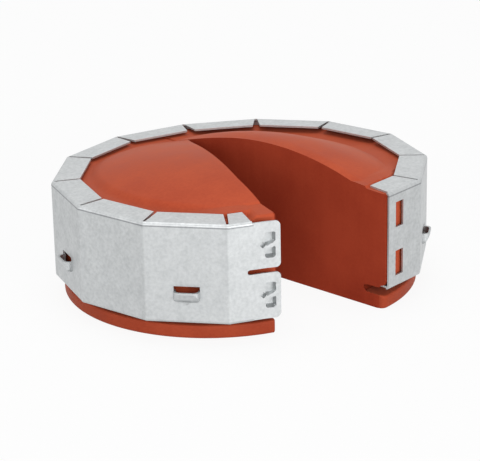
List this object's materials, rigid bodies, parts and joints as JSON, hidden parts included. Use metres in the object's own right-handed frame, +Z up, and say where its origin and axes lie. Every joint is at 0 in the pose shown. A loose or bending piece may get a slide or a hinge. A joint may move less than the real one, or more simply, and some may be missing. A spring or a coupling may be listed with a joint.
{
  "type": "firestop cable collar",
  "caption": "Firestop collar for cables: a folded galvanised steel strip round a domed red-brown foam plug, opened in a V at its slit.",
  "frame": {"origin": "On the foam's flat underside, in the middle of the foam web that joins the two halves behind the slit", "axes": "+Z points up out of the domed side, -Y points out of the slit's open mouth, +X points to the half that carries the windows"},
  "size_m": [0.1985, 0.1679, 0.0737],
  "materials": {
    "galvanised_sheet": "satin zinc coating with a faint spangle",
    "intumescent_foam": "moulded skin, softly mottled, dull"
  },
  "bodies": {
    "root": {"steel_collar": "galvanised_sheet", "foam_plug": "intumescent_foam"}
  },
  "joints": []
}
